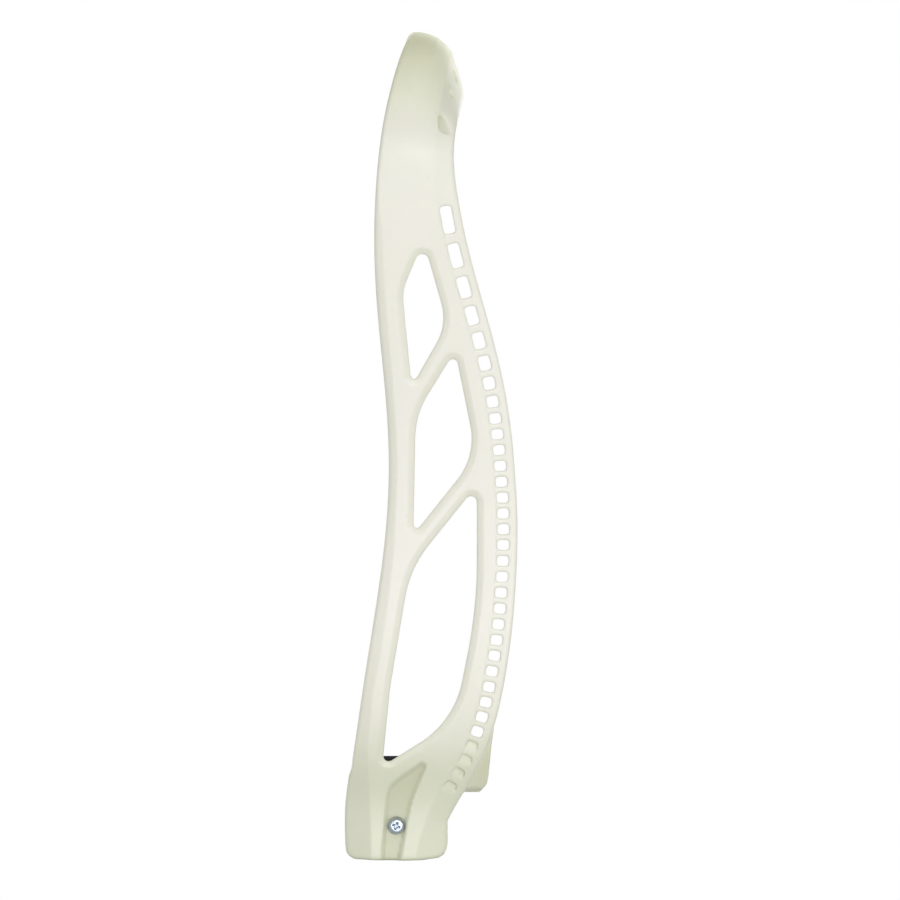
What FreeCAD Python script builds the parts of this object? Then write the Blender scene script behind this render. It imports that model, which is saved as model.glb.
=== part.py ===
"""Unstrung lacrosse head: one nylon moulding, a foam ball stop on its adhesive film, and the head screw.

The head stands on its throat, +Z up the shaft's axis, with the origin at the centre of the socket's mouth.
-Y is the face, where the ball comes in. +Y is the back, where the pocket is strung. X = 0 is the mirror plane.
The moulding is drawn twice, as a toolmaker would: a face drawing in X and Z, and a side drawing in Y and Z.
It is stored in four sections that meet face to face: throat, left and right sidewall, and scoop.
"""
import FreeCAD, Part

import math
import os

V = FreeCAD.Vector

# ---- driving dimensions, in millimetres ---------------------------------------------------------------------
head_length = 296.2        # mouth of the socket to the tip of the scoop
head_width = 163.0         # across the scoop, outside
wall = 4.6                 # sidewall and scoop
shaft_depth = 28.6         # octagonal shaft, face to back
shaft_width = 22.2         # octagonal shaft, side to side
shaft_corner_depth = 7.3   # legs of the shaft's corner flats
shaft_corner_width = 6.1
shaft_clearance = 0.2      # on each side of the shaft
socket_wall_depth = 3.7    # socket wall in front of and behind the shaft
socket_wall_width = 4.7    # socket wall beside the shaft, ribs included
socket_floor_wall = 2.7    # socket wall beside the shaft, under the screw's recess
stop_height = 33.0         # lowest point of the ball stop's foam
stop_radius = 79.0         # hollow of the foam, seen from the face
foam_thickness = 3.0
foam_front = 12.0          # foam in front of the shaft's axis, and behind it
foam_back = 24.0
foam_gap = 0.4             # round the foam's ends
film_thickness = 0.25
film_margin = 1.0          # the film stops short of the foam's edges
shelf_thickness = 2.75     # between the shaft's end and the film
heel_thickness = 5.35      # the ball stop's shelf behind the socket
heel_step = 4.6            # the heel's sides stand in from the sidewalls
heel_wall = 2.6            # the heel's sides, above the shelf; they run out into the sidewalls from this height up
heel_taper_height = 44.0
heel_holes = 4             # for the pocket's bottom string, in a row across the heel
heel_hole_pitch = 7.6
heel_hole_place = 29.2     # depth of the row
heel_hole_width = 3.0
heel_hole_length = 4.0
string_hole_width = 4.1    # ladder of string holes in the back rail
string_hole_length = 3.6
string_hole_corner = 1.0
string_hole_inset = 5.1    # centre of a hole to the back edge
string_holes = 29
blind_pockets = 4          # the ladder goes on as pockets where the heel backs it
blind_depth = 1.3
string_bridge = 2.16       # nylon between two holes
top_hole_extra = 6.4       # the first hole is this much longer, and the bridge under it wider
top_bridge_extra = 1.3
grown_holes = 9            # holes that are longer than the rest
grown_bridges = 8
scoop_holes = 8            # in pairs
scoop_hole_pitch = 26.0
scoop_hole_width = 3.6
scoop_hole_length = 6.8
scoop_hole_place = 0.42    # share of the flange in front of a hole's centre
scoop_hole_lean = 0.5      # how far the hole turns from the head's back towards the outside
screw_height = 12.5
screw_diameter = 3.0
screw_length = 20.0
screw_clearance = 0.05
screw_head_diameter = 5.8
screw_head_height = 2.2
screw_tip_length = 2.5
screw_dome = 1.0           # the edge of the pan head
driver_slot = 0.9          # cross recess
driver_span = 3.2
driver_depth = 1.3
seat_clearance = 0.3       # round the screw's head, in its seat
seat_depth = 0.4

# ---- sizes that follow -------------------------------------------------------------------------------------
socket_half_depth = shaft_depth / 2 + shaft_clearance
socket_half_width = shaft_width / 2 + shaft_clearance
collar_half_depth = socket_half_depth + socket_wall_depth
collar_half_width = socket_half_width + socket_wall_width
recess_floor = socket_half_width + socket_floor_wall
shelf_top = stop_height - foam_thickness - film_thickness
shelf_radius = stop_radius + foam_thickness + film_thickness
socket_top = shelf_top - shelf_thickness
arc_centre = stop_height + stop_radius
far = 120.0                # past every face of the head

# The drawings below are for a head of these sizes, and are stretched to the driving dimensions.
drawn_length = 296.2
drawn_half_width = 81.5
drawn_collar_half_width = 16.0
drawn_collar_half_depth = 18.2
throat_end = 58.0          # the throat keeps its height when the head is made longer
split_height = 240.0       # the sidewalls end here and the scoop begins
ladder_height = 230.0      # middle of the first string hole
mouth_flat = 8.0           # half the depth of the mouth's flat rim; it rises a little from there to its corners
mouth_rise = 1.4
mouth_corner = 2.2

# Face drawing, right half: distance from the mirror plane and height, up the outside of the sidewall to the tip.
FACE = [(16, -6), (16, 8), (17.2, 17), (22.5, 25.5), (30.5, 34), (36.6, 43), (40.8, 55), (43.2, 73), (44.4, 100),
        (47.6, 135), (54.4, 165), (64.4, 195), (74.2, 222), (80.2, 243), (81.4, 256), (77.6, 269.5), (67.5, 281),
        (52, 289), (30, 294.4), (0, 296.2)]
# Side drawing: height and depth of the front rail's edge, from the collar to the tip of the scoop.
FRONT_EDGE = [(6, -18.2), (20, -18.2), (36, -16.0), (64, -11.7), (93, -7.1), (118, -3.9), (143, -2.8),
              (164, -3.8), (200, -7.1), (222, -7.9), (243, -7.1), (264, -4.6), (279, -1.2), (290, 2.4), (298, 6.0)]
# The back rail's edge, from the collar to the back of the scoop.
BACK_EDGE = [(14.4, 18.3), (21.5, 22.2), (29.8, 27.2), (39.5, 31.8), (51.9, 36.0), (64.4, 38.7), (78.7, 40.9),
             (93, 42.3), (107, 43.1), (121.5, 43.3), (136, 42.6), (154, 41.0), (175, 37.4), (200, 30.8),
             (221.5, 25.1), (236, 22.2), (250, 20.6), (258, 20.9), (268, 22.8), (275, 24.4)]
# The heel's back and underside, from where it leaves the back rail.
HEEL = [(20, 57), (37.2, 57), (34.2, 43), (33.0, 31), (32.4, 27.6), (29.7, 24.4), (20, 24.4)]
# Windows in the sidewall: depth, height and corner radius.
WINDOWS = [
    [(9.7, 220.7, 2.1), (2.4, 203.6, 18), (5.7, 170.4, 0.9), (17.9, 191.7, 18)],
    [(20.9, 181.5, 1.5), (28.3, 144.8, 23), (6.4, 117.4, 0.9), (7.2, 159.5, 30)],
    [(28.5, 133.4, 1.8), (28.5, 90.5, 170), (20.4, 50.1, 33), (-4.7, 34.4, 1.6), (-1.9, 62.3, 100),
     (5.2, 104.4, 41)],
]
# The recess round the screw, open at the mouth: depth, height and corner radius.
RECESS = [(-5.9, -4, 0), (-3.3, 26.9, 9), (12.6, 37.9, 1.4), (5.4, 21.5, 50), (0.4, -4, 0)]
# The crease between the front chamfer and the side of the rail: height, depth, and the chamfer's width at the edge.
FRONT_CREASE = [(-1, -8.9, 7.0), (12, -8.9, 7.0), (24, -9.4, 5.6), (31, -9.6, 3.6), (40, -9.7, 2.6),
                (58, -8.4, 2.3), (78, -4.6, 2.2), (110, -0.6, 2.0), (143, 0.8, 2.0), (173, -1.2, 2.0),
                (200, -3.5, 1.8), (225, -4.6, 1.2)]
BACK_CREASE = [(-1, 5.4, 7.0), (7, 7.8, 6.6), (17, 11.0, 5.0), (25.5, 15.2, 3.0), (34, 18.0, 1.6), (46, 24.0, 0.7)]

# The scoop's section at the tip: depth from the flange's crease, and how far the outside has fallen in there.
# It runs on past the back edge, which cuts it off.
FLANGE_FALL = [(-14, 0.0), (-11, 0.1), (-8, 0.8), (-5, 2.1), (-2, 4.5), (0, 6.8), (1.5, 12.0), (3.8, 18.6),
               (6.2, 25.5)]
flange_width = 4.6              # crease to back edge, at the tip
flange_crease_centre = 19.8     # depth of the crease at the tip, and on the sides
flange_crease_side = 13.8
side_fall = 0.14                # share of that fall on the sides of the head
flange_growth = 1.2             # power of the outline's slope with which it grows to the whole


def stretch(z):
    """Height in the drawing to height on this head. Everything above the throat moves."""
    if z <= throat_end:
        return z
    return throat_end + (z - throat_end) * (head_length - throat_end) / (drawn_length - throat_end)


def spread(x):
    """Distance from the mirror plane in the drawing to the distance on this head."""
    share = (head_width / 2 - collar_half_width) / (drawn_half_width - drawn_collar_half_width)
    return collar_half_width + (x - drawn_collar_half_width) * share if x > 0 else 0.0


def deepen(y, z):
    """Depth in the drawing to depth on this head: the throat follows the collar."""
    fade = min(1.0, max(0.0, (60.0 - z) / 40.0))
    return y + math.copysign(collar_half_depth - drawn_collar_half_depth, y) * fade


def blend(a, b, t):
    t = min(1.0, max(0.0, t))
    return a + (b - a) * t


def piecewise(table, t):
    """Straight-line reading of a table of pairs."""
    for (t0, v0), (t1, v1) in zip(table, table[1:]):
        if t <= t1:
            return blend(v0, v1, (t - t0) / (t1 - t0))
    (t0, v0), (t1, v1) = table[-2:]
    return v1 + (v1 - v0) / (t1 - t0) * (t - t1)


def through(points):
    curve = Part.BSplineCurve()
    curve.interpolate(Points=points)
    return curve


def side_curve(table):
    """A curve of the side drawing, from its table of height and depth."""
    return through([V(0, deepen(y, z), stretch(z)) for z, y in table])


def depth_at(curve, z):
    """Depth of a side curve at a height. The curve climbs all the way."""
    low, high = curve.FirstParameter, curve.LastParameter
    for _ in range(40):
        middle = (low + high) / 2
        if curve.value(middle).z < z:
            low = middle
        else:
            high = middle
    return curve.value(low).y


front_curve = side_curve(FRONT_EDGE)
back_curve = side_curve(BACK_EDGE)


# ---- the sidewall and scoop: one skin round the face drawing -------------------------------------------------
def face_curve():
    """The outline of the face drawing, from the right side of the mouth over the tip to the left side."""
    half = [V(spread(x), 0, stretch(z)) for x, z in FACE]
    return through(half + [V(-p.x, 0, p.z) for p in reversed(half[:-1])])


def skin_stations(count):
    """Points along the outline with the outward normal, evenly spaced and the same on both sides."""
    curve = face_curve()
    length = curve.length()
    right = []
    for i in range(count):
        u = curve.parameterAtDistance(length / 2 * i / count, curve.FirstParameter)
        tangent = curve.tangent(u)[0]
        right.append((curve.value(u), V(tangent.z, 0, -tangent.x)))
    tip = (V(0, 0, stretch(FACE[-1][1])), V(0, 0, 1))
    return right + [tip] + [(V(-p.x, 0, p.z), V(-n.x, 0, n.z)) for p, n in reversed(right)]


def flange(point, normal):
    """Share of the tip's fall at a point of the outline, and the depths of the flange's crease and back edge."""
    share = side_fall + (1 - side_fall) * max(0.0, normal.z) ** flange_growth
    share *= blend(0.0, 1.0, (point.z - stretch(150)) / (stretch(200) - stretch(150)))
    up = (point.z - stretch(262)) / (stretch(drawn_length) - stretch(262))
    crease = blend(flange_crease_side, flange_crease_centre, up)
    edge_height = point.z - share * piecewise(FLANGE_FALL, flange_width) * normal.z
    return share, crease, depth_at(back_curve, min(edge_height, stretch(BACK_EDGE[-1][0])))


def flange_depth(crease, back, t):
    """Depth on this head for a depth in the scoop's section."""
    return crease + t * ((back - crease) / flange_width if t > 0 else 1.0)


def skin_rows(inward):
    """Rows of points from front to back, on the outside of the skin or a wall's thickness inside it."""
    rows = [[] for _ in range(len(FLANGE_FALL) + 2)]
    for point, normal in skin_stations(40):
        share, crease, back = flange(point, normal)
        section = [(flange_depth(crease, back, t), share * fall) for t, fall in FLANGE_FALL]
        slopes = [(b[1] - a[1]) / (b[0] - a[0]) for a, b in zip(section, section[1:])]
        slopes = [(a + b) / 2 for a, b in zip([0.0] + slopes, slopes + slopes[-1:])]
        shifted = []
        for (depth, fall), slope in zip(section, slopes):
            size = math.hypot(1.0, slope)
            shifted.append((depth - inward * slope / size, fall + inward / size))
        shifted = [(-far, shifted[0][1])] + shifted + [(far, shifted[-1][1])]
        for row, (depth, fall) in zip(rows, shifted):
            row.append(point - normal * fall + V(0, depth, 0))
    return rows


def skin_solid(inward=0.0):
    """Everything inside the skin, as one solid from far in front to far behind."""
    wires = []
    for row in skin_rows(inward):
        edge = through(row).toShape()
        wires.append(Part.Wire([edge, Part.makeLine(row[-1], row[0])]))
    return Part.makeLoft(wires, True, True)


# ---- the side drawing as solids along X ----------------------------------------------------------------------
def prism(points, x0=-far, x1=far):
    """A polygon of depth and height, pushed along X."""
    wire = Part.makePolygon([V(x0, y, z) for y, z in points] + [V(x0, *points[0])])
    return Part.Face(wire).extrude(V(x1 - x0, 0, 0))


def rounded_wire(corners, x=0.0):
    """A closed polygon of depth, height and corner radius, with tangent arcs."""
    points = [V(x, y, z) for y, z, _ in corners]
    starts, ends, edges = [], [], []
    for i, (_, _, radius) in enumerate(corners):
        here, before, after = points[i], points[i - 1], points[(i + 1) % len(points)]
        back, on = (before - here).normalize(), (after - here).normalize()
        half = back.getAngle(on) / 2
        reach = radius / math.tan(half)
        starts.append(here + back * reach)
        ends.append(here + on * reach)
        if radius > 0:
            centre = here + (back + on).normalize() * (radius / math.sin(half))
            middle = centre + (here - centre).normalize() * radius
            edges.append(Part.Arc(starts[i], middle, ends[i]).toShape())
        else:
            edges.append(None)
    loop = []
    for i in range(len(points)):
        if edges[i] is not None:
            loop.append(edges[i])
        loop.append(Part.makeLine(ends[i], starts[(i + 1) % len(points)]))
    return Part.Wire(loop)


def placed(corners):
    return [(deepen(y, z), stretch(z), r) for y, z, r in corners]


def rounded_prism(corners, x0=-far, x1=far):
    return Part.Face(rounded_wire(corners, x0)).extrude(V(x1 - x0, 0, 0))


def side_outline():
    """The head's outline from the side, without the heel. The top is left open, because the skin ends it."""
    front_low = V(0, -collar_half_depth, 6)
    back_low = V(0, collar_half_depth + 0.1, 7)
    front_flat, back_flat = V(0, -mouth_flat, 0), V(0, mouth_flat, 0)
    front_foot = V(0, mouth_corner - collar_half_depth, mouth_rise)
    back_foot = V(0, collar_half_depth - mouth_corner, mouth_rise)
    front_bend = V(0, mouth_corner / 4 - collar_half_depth, 2 * mouth_rise)
    back_bend = V(0, collar_half_depth - mouth_corner / 4, 2.3 * mouth_rise)
    above = head_length + 20
    front_start = front_curve.value(front_curve.FirstParameter)
    tip = front_curve.value(front_curve.LastParameter)
    back_start = back_curve.value(back_curve.FirstParameter)
    back_end = back_curve.value(back_curve.LastParameter)
    loop = [
        Part.makeLine(front_flat, back_flat),
        Part.makeLine(back_flat, back_foot),
        Part.Arc(back_foot, back_bend, back_low).toShape(),
        Part.makeLine(back_low, back_start),
        back_curve.toShape(),
        Part.makeLine(back_end, V(0, back_end.y, above)),
        Part.makeLine(V(0, back_end.y, above), V(0, tip.y, above)),
        Part.makeLine(V(0, tip.y, above), tip),
        front_curve.toShape(),
        Part.Arc(front_start, front_bend, front_foot).toShape(),
        Part.makeLine(front_foot, front_flat),
    ]
    if (front_low - front_start).Length > 0.5:
        raise ValueError("the front edge starts at the collar's corner")
    wire = Part.Wire(Part.__sortEdges__(loop))
    wire.translate(V(-far, 0, 0))
    return Part.Face(wire).extrude(V(2 * far, 0, 0))


# ---- the face drawing as solids along Y ----------------------------------------------------------------------
def below_arc(radius, floor=-40.0):
    """Everything below an arc that is hollow upwards, centred over the ball stop, from front to back."""
    half = min(radius * 0.9, 70.0)
    rise = arc_centre - math.sqrt(radius ** 2 - half ** 2)
    loop = [
        Part.Arc(V(-half, -far, rise), V(0, -far, arc_centre - radius), V(half, -far, rise)).toShape(),
        Part.makeLine(V(half, -far, rise), V(half, -far, floor)),
        Part.makeLine(V(half, -far, floor), V(-half, -far, floor)),
        Part.makeLine(V(-half, -far, floor), V(-half, -far, rise)),
    ]
    return Part.Face(Part.Wire(loop)).extrude(V(0, 2 * far, 0))


def arc_plate(outer, inner):
    """The plate between two arcs centred over the ball stop, the whole width of the head."""
    return below_arc(inner).cut(below_arc(outer))


def octagon(half_width, half_depth, corner_width, corner_depth, z0, z1):
    w, d = half_width, half_depth
    a, b = w - corner_width, d - corner_depth
    points = [(w, -b), (w, b), (a, d), (-a, d), (-w, b), (-w, -b), (-a, -d), (a, -d)]
    wire = Part.makePolygon([V(x, y, z0) for x, y in points] + [V(points[0][0], points[0][1], z0)])
    return Part.Face(wire).extrude(V(0, 0, z1 - z0))


def both_sides(shape):
    return [shape, shape.mirror(V(0, 0, 0), V(1, 0, 0))]


# ---- cuts ------------------------------------------------------------------------------------------------------
right_face_curve = through([V(spread(x), 0, stretch(z)) for x, z in FACE])


def half_width_at(z):
    """Half the width of the head at a height, from the face drawing. The curve climbs all the way."""
    low, high = right_face_curve.FirstParameter, right_face_curve.LastParameter
    for _ in range(40):
        middle = (low + high) / 2
        if right_face_curve.value(middle).z < z:
            low = middle
        else:
            high = middle
    return right_face_curve.value(low).x


def chamfer_cutter(crease, edge_curve, sign, start_depth):
    """A wedge along a rail's edge: it takes the corner between the side of the rail and its front or back."""
    wires = []
    for z, depth, width in crease:
        height = stretch(z)
        edge = depth_at(edge_curve, height) if height > stretch(start_depth) else sign * collar_half_depth
        outside = half_width_at(max(height, 0.0))
        depth = deepen(depth, z)
        inner = V(outside - width, edge, height)
        crest = V(outside, depth, height)
        run = (inner - crest).normalize()
        corner = V(outside + 6, edge + sign * 6, height)
        wires.append(Part.makePolygon([crest - run * 6, inner + run * 6, corner, crest - run * 6]))
    return Part.makeLoft(wires, True, True)


def ladder():
    """Centre, direction along the rail, and length of each hole of the ladder, from the scoop down."""
    places = []
    start = stretch(ladder_height)
    u = back_curve.parameter(V(0, depth_at(back_curve, start), start))
    travelled = back_curve.length(back_curve.FirstParameter, u)
    scale = (start - throat_end) / (ladder_height - throat_end)
    previous = None
    for i in range(string_holes + blind_pockets):
        long = string_hole_length + top_hole_extra * max(0.0, 1 - i / grown_holes) ** 1.7
        if previous is not None:
            bridge = string_bridge + top_bridge_extra * max(0.0, 1 - (i - 1) / grown_bridges)
            travelled -= ((long + previous) / 2 + bridge) * scale
        previous = long
        u = back_curve.parameterAtDistance(travelled, back_curve.FirstParameter)
        tangent = back_curve.tangent(u)[0]
        inward = V(0, -tangent.z, tangent.y)
        places.append((back_curve.value(u) + inward * string_hole_inset, tangent, long))
    return places


def hole_prism(centre, along, long, x0, x1):
    """A rounded rectangle through the rail, lined up with it."""
    across = V(0, -along.z, along.y)
    half_long, half_wide = long / 2, string_hole_width / 2
    corners = []
    for a, b in ((1, 1), (1, -1), (-1, -1), (-1, 1)):
        p = centre + along * (a * half_long) + across * (b * half_wide)
        corners.append((p.y, p.z, string_hole_corner))
    return rounded_prism(corners, x0, x1)


def ladder_cuts():
    cuts = []
    for i, (centre, along, long) in enumerate(ladder()):
        if i < string_holes:
            cuts.append(hole_prism(centre, along, long, -far, far))
        else:
            floor = half_width_at(centre.z - long / 2) - blind_depth
            cuts += both_sides(hole_prism(centre, along, long, floor, far))
    return cuts


def recess_cuts():
    """The sunk panel round the screw. Its floor is the socket's side, and follows the throat's flare above it."""
    top = RECESS[2][1] + 2
    steps = 6
    heights = [blend(screw_height + screw_head_diameter / 2, top, i / steps) for i in range(steps + 1)]
    sink = collar_half_width - recess_floor
    slope = [(half_width_at(z + 1) - half_width_at(z - 1)) / 2 for z in heights]
    floor = [(max(recess_floor, half_width_at(z) - sink * math.hypot(1, g)), z) for z, g in zip(heights, slope)]
    floor = [(recess_floor, -far / 4)] + floor + [(far, top), (far, -far / 4)]
    wire = Part.makePolygon([V(x, -far, z) for x, z in floor] + [V(floor[0][0], -far, floor[0][1])])
    panel = Part.Face(wire).extrude(V(0, 2 * far, 0))
    return both_sides(panel.common(rounded_prism(placed(RECESS), 0, far)))


def scoop_cuts():
    """String holes through the scoop's flange, in pairs and long the way the outline runs. They point mostly to
    the back, as the mould's halves part, so they open out wide where the flange is steep."""
    curve = face_curve()
    cuts = []
    for k in range(scoop_holes // 2):
        u = curve.parameterAtDistance(curve.length() / 2 - (k + 0.5) * scoop_hole_pitch, curve.FirstParameter)
        point, tangent = curve.value(u), curve.tangent(u)[0]
        normal = V(tangent.z, 0, -tangent.x)
        share, crease, back = flange(point, normal)
        t = flange_width * scoop_hole_place
        centre = point - normal * share * piecewise(FLANGE_FALL, t) + V(0, flange_depth(crease, back, t), 0)
        out = (normal * scoop_hole_lean + V(0, 1, 0)).normalize()
        cutter = slot(scoop_hole_length, scoop_hole_width, 3 * wall)
        cutter.Placement = FreeCAD.Placement(centre, FreeCAD.Rotation(tangent, out.cross(tangent), out, "XYZ"))
        cuts += both_sides(cutter)
    return cuts


def heel_cuts():
    """Slots through the heel, square to its hollow, in a row from side to side."""
    radius = shelf_radius + heel_thickness / 2
    cuts = []
    for i in range(heel_holes):
        angle = (i - (heel_holes - 1) / 2) * heel_hole_pitch / radius
        cutter = slot(heel_hole_length, heel_hole_width, 3 * heel_thickness)
        cutter.rotate(V(0, 0, 0), V(0, 1, 0), -math.degrees(angle))
        cutter.translate(V(radius * math.sin(angle), heel_hole_place, arc_centre - radius * math.cos(angle)))
        cuts.append(cutter)
    return cuts


def slot(long, wide, tall):
    """A round-ended slot cutter about the origin, long along X, standing along Z."""
    straight = (long - wide) / 2
    box = Part.makeBox(2 * straight, wide, tall, V(-straight, -wide / 2, -tall / 2))
    ends = [Part.makeCylinder(wide / 2, tall, V(s * straight, 0, -tall / 2)) for s in (-1, 1)]
    return box.fuse(ends).removeSplitter()


# ---- the moulding ----------------------------------------------------------------------------------------------
def heel_bridge(cavity):
    """The heel: the shelf carried on behind the socket, with a side wall up to each rail clear of the foam."""
    foam_room = Part.makeBox(2 * far, far + foam_back + foam_gap, 2 * far, V(-far, -far, -far))
    hollow = skin_solid(heel_step + heel_wall).cut(below_arc(shelf_radius)).cut(foam_room)
    heel = prism([(deepen(y, z), z) for y, z in HEEL]).common(skin_solid(heel_step))
    low, high = heel_taper_height, HEEL[0][1]
    x_low = half_width_at(low) - 1.14 * (heel_step + heel_wall)
    x_high = half_width_at(high) - 1.03 * wall
    corners = [V(-x_low, -far, low), V(x_low, -far, low), V(x_high, -far, high), V(-x_high, -far, high)]
    heel = heel.cut(Part.Face(Part.makePolygon(corners + corners[:1])).extrude(V(0, 2 * far, 0)))
    return heel.cut(hollow).cut(cavity.common(foam_room)).cut(below_arc(shelf_radius + heel_thickness))


def moulding():
    outside = skin_solid()
    cavity = skin_solid(wall).cut(below_arc(shelf_radius))
    body = outside.cut(cavity).common(side_outline())
    body = body.cut(Part.Compound([
        *both_sides(chamfer_cutter(FRONT_CREASE, front_curve, -1, 6)),
        *both_sides(chamfer_cutter(BACK_CREASE, back_curve, 1, 14.4)),
    ]))
    body = body.fuse(heel_bridge(cavity))
    windows = [rounded_prism(placed(corners)) for corners in WINDOWS]
    socket = octagon(socket_half_width, socket_half_depth, shaft_corner_width, shaft_corner_depth, -5, socket_top)
    hole = Part.makeCylinder(screw_diameter / 2 + screw_clearance, far, V(0, 0, screw_height), V(1, 0, 0))
    seat = Part.makeCylinder(screw_head_diameter / 2 + seat_clearance, far,
                             V(recess_floor - seat_depth, 0, screw_height), V(1, 0, 0))
    for cuts in (windows, ladder_cuts(), recess_cuts(), scoop_cuts(), heel_cuts(), [socket, hole, seat]):
        body = body.cut(cuts)
    return body


def slab(z0, z1, x0=-far, x1=far):
    return Part.makeBox(x1 - x0, 2 * far, z1 - z0, V(x0, -far, z0))


def ball_stop():
    """The foam pad: a strip of even thickness, bent to the shelf."""
    strip = arc_plate(stop_radius + foam_thickness, stop_radius)
    room = Part.makeBox(2 * far, foam_front + foam_back, far, V(-far, -foam_front, 0))
    return strip.common(room).common(skin_solid(wall + foam_gap))


def adhesive_film():
    strip = arc_plate(shelf_radius, stop_radius + foam_thickness)
    room = Part.makeBox(2 * far, foam_front + foam_back - 2 * film_margin, far, V(-far, film_margin - foam_front, 0))
    return strip.common(room).common(skin_solid(wall + foam_gap + film_margin))


def head_screw():
    """Pan head with a cross recess, plain shank at the thread's outer size, and a cone tip. It points along -X."""
    r, head = screw_diameter / 2, screw_head_diameter / 2
    under = recess_floor - seat_depth
    top = under + screw_head_height
    profile = [
        Part.makeLine(V(under - screw_length, 0, 0), V(under - screw_length + screw_tip_length, r, 0)),
        Part.makeLine(V(under - screw_length + screw_tip_length, r, 0), V(under, r, 0)),
        Part.makeLine(V(under, r, 0), V(under, head, 0)),
        Part.makeLine(V(under, head, 0), V(top - screw_dome, head, 0)),
        Part.Arc(V(top - screw_dome, head, 0), V(top - 0.25 * screw_dome, head - 0.35 * screw_dome, 0),
                 V(top, head - 1.2 * screw_dome, 0)).toShape(),
        Part.makeLine(V(top, head - 1.2 * screw_dome, 0), V(top, 0, 0)),
        Part.makeLine(V(top, 0, 0), V(under - screw_length, 0, 0)),
    ]
    screw = Part.Face(Part.Wire(profile)).revolve(V(0, 0, 0), V(1, 0, 0), 360)
    arms = []
    for wide, tall in ((driver_span, driver_slot), (driver_slot, driver_span)):
        arms.append(Part.makeBox(driver_depth + 1, wide, tall, V(top - driver_depth, -wide / 2, -tall / 2)))
    screw = screw.cut(arms)
    screw.translate(V(0, 0, screw_height))
    return screw


def save(name, shape):
    solids = shape.Solids
    whole = solids[0] if len(solids) == 1 else Part.Compound(solids)
    if not whole.isValid():
        print("not valid:", name)
    whole.exportStep(f"parts/{name}.step")
    box = whole.BoundBox
    print(f"{name}: {len(solids)} solid, {whole.Volume / 1000:.2f} cm3, x {box.XMin:.1f}..{box.XMax:.1f} "
          f"y {box.YMin:.1f}..{box.YMax:.1f} z {box.ZMin:.1f}..{box.ZMax:.1f}")


os.makedirs("parts", exist_ok=True)
body = moulding()
low, high = throat_end, stretch(split_height)
save("throat", body.common(slab(-far, low)))
save("sidewall_right", body.common(slab(low, high, 0, far)))
save("sidewall_left", body.common(slab(low, high, -far, 0)))
save("scoop", body.common(slab(high, head_length + far)))
save("ball_stop_foam", ball_stop())
save("adhesive_film", adhesive_film())
save("head_screw", head_screw())
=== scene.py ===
# %% [markdown]
# # An unstrung lacrosse head
#
# A bare head is one nylon moulding with a foam ball stop stuck in its throat and a single screw
# through its socket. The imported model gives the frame: +Z up the shaft, -Y the face, +X the side
# that the screw goes in from. Everything here is built around it, in metres, and nothing in it is
# moved.

# %% Load the frame
import itertools
import math

import bmesh
import bpy
import numpy as np
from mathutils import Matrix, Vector


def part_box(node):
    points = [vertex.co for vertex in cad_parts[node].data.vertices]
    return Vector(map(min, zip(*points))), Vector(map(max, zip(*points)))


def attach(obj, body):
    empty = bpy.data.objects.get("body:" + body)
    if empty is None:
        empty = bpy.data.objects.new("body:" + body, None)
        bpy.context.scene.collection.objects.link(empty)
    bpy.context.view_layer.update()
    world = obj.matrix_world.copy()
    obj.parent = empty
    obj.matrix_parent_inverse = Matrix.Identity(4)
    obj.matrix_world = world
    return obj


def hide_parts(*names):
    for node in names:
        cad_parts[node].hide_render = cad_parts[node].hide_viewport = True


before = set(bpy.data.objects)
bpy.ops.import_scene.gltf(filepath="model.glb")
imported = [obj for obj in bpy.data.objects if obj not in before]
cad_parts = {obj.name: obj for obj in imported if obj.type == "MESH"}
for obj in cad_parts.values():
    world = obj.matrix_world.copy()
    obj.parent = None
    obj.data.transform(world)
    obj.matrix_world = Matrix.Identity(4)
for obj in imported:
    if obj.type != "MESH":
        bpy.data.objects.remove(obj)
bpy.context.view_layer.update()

MM = 0.001
lowest = {name: np.array(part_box(name)[0]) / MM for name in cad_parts}
highest = {name: np.array(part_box(name)[1]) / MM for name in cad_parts}

# %% [markdown]
# ## Two drawings
#
# A toolmaker draws such a head twice: once from the face, where it is a long loop, and once from
# the side, where the rails sweep and the windows are cut. Each drawing is a few points with a
# smooth curve through them. The curve is a natural cubic spline, the line that a thin batten takes
# when it is bent round pins.

# %% The face and side drawings
head_top = highest["scoop"][2]
half_width = highest["scoop"][0]
wall = 4.6
# Half the outline from the face: distance from the middle, then height.
FACE = [(16, -6), (16, 8), (17.2, 17), (22.5, 25.5), (30.5, 34), (36.6, 43), (40.8, 55), (43.2, 73),
        (44.4, 100), (47.6, 135), (54.4, 165), (64.4, 195), (74.2, 222), (80.2, 243), (81.4, 256),
        (77.6, 269.5), (67.5, 281), (52, 289), (30, 294.4), (0, 296.2)]
# The two rails from the side: height, then depth.
FRONT_EDGE = [(6, -18.2), (20, -18.2), (36, -16.0), (64, -11.7), (93, -7.1), (118, -3.9),
              (143, -2.8), (164, -3.8), (200, -7.1), (222, -7.9), (243, -7.1), (264, -4.6),
              (279, -1.2), (290, 2.4), (298, 6.0)]
BACK_EDGE = [(14.4, 18.3), (21.5, 22.2), (29.8, 27.2), (39.5, 31.8), (51.9, 36.0), (64.4, 38.7),
             (78.7, 40.9), (93, 42.3), (107, 43.1), (121.5, 43.3), (136, 42.6), (154, 41.0),
             (175, 37.4), (200, 30.8), (221.5, 25.1), (236, 22.2), (250, 20.6), (258, 20.9),
             (268, 22.8), (275, 24.4)]


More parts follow.
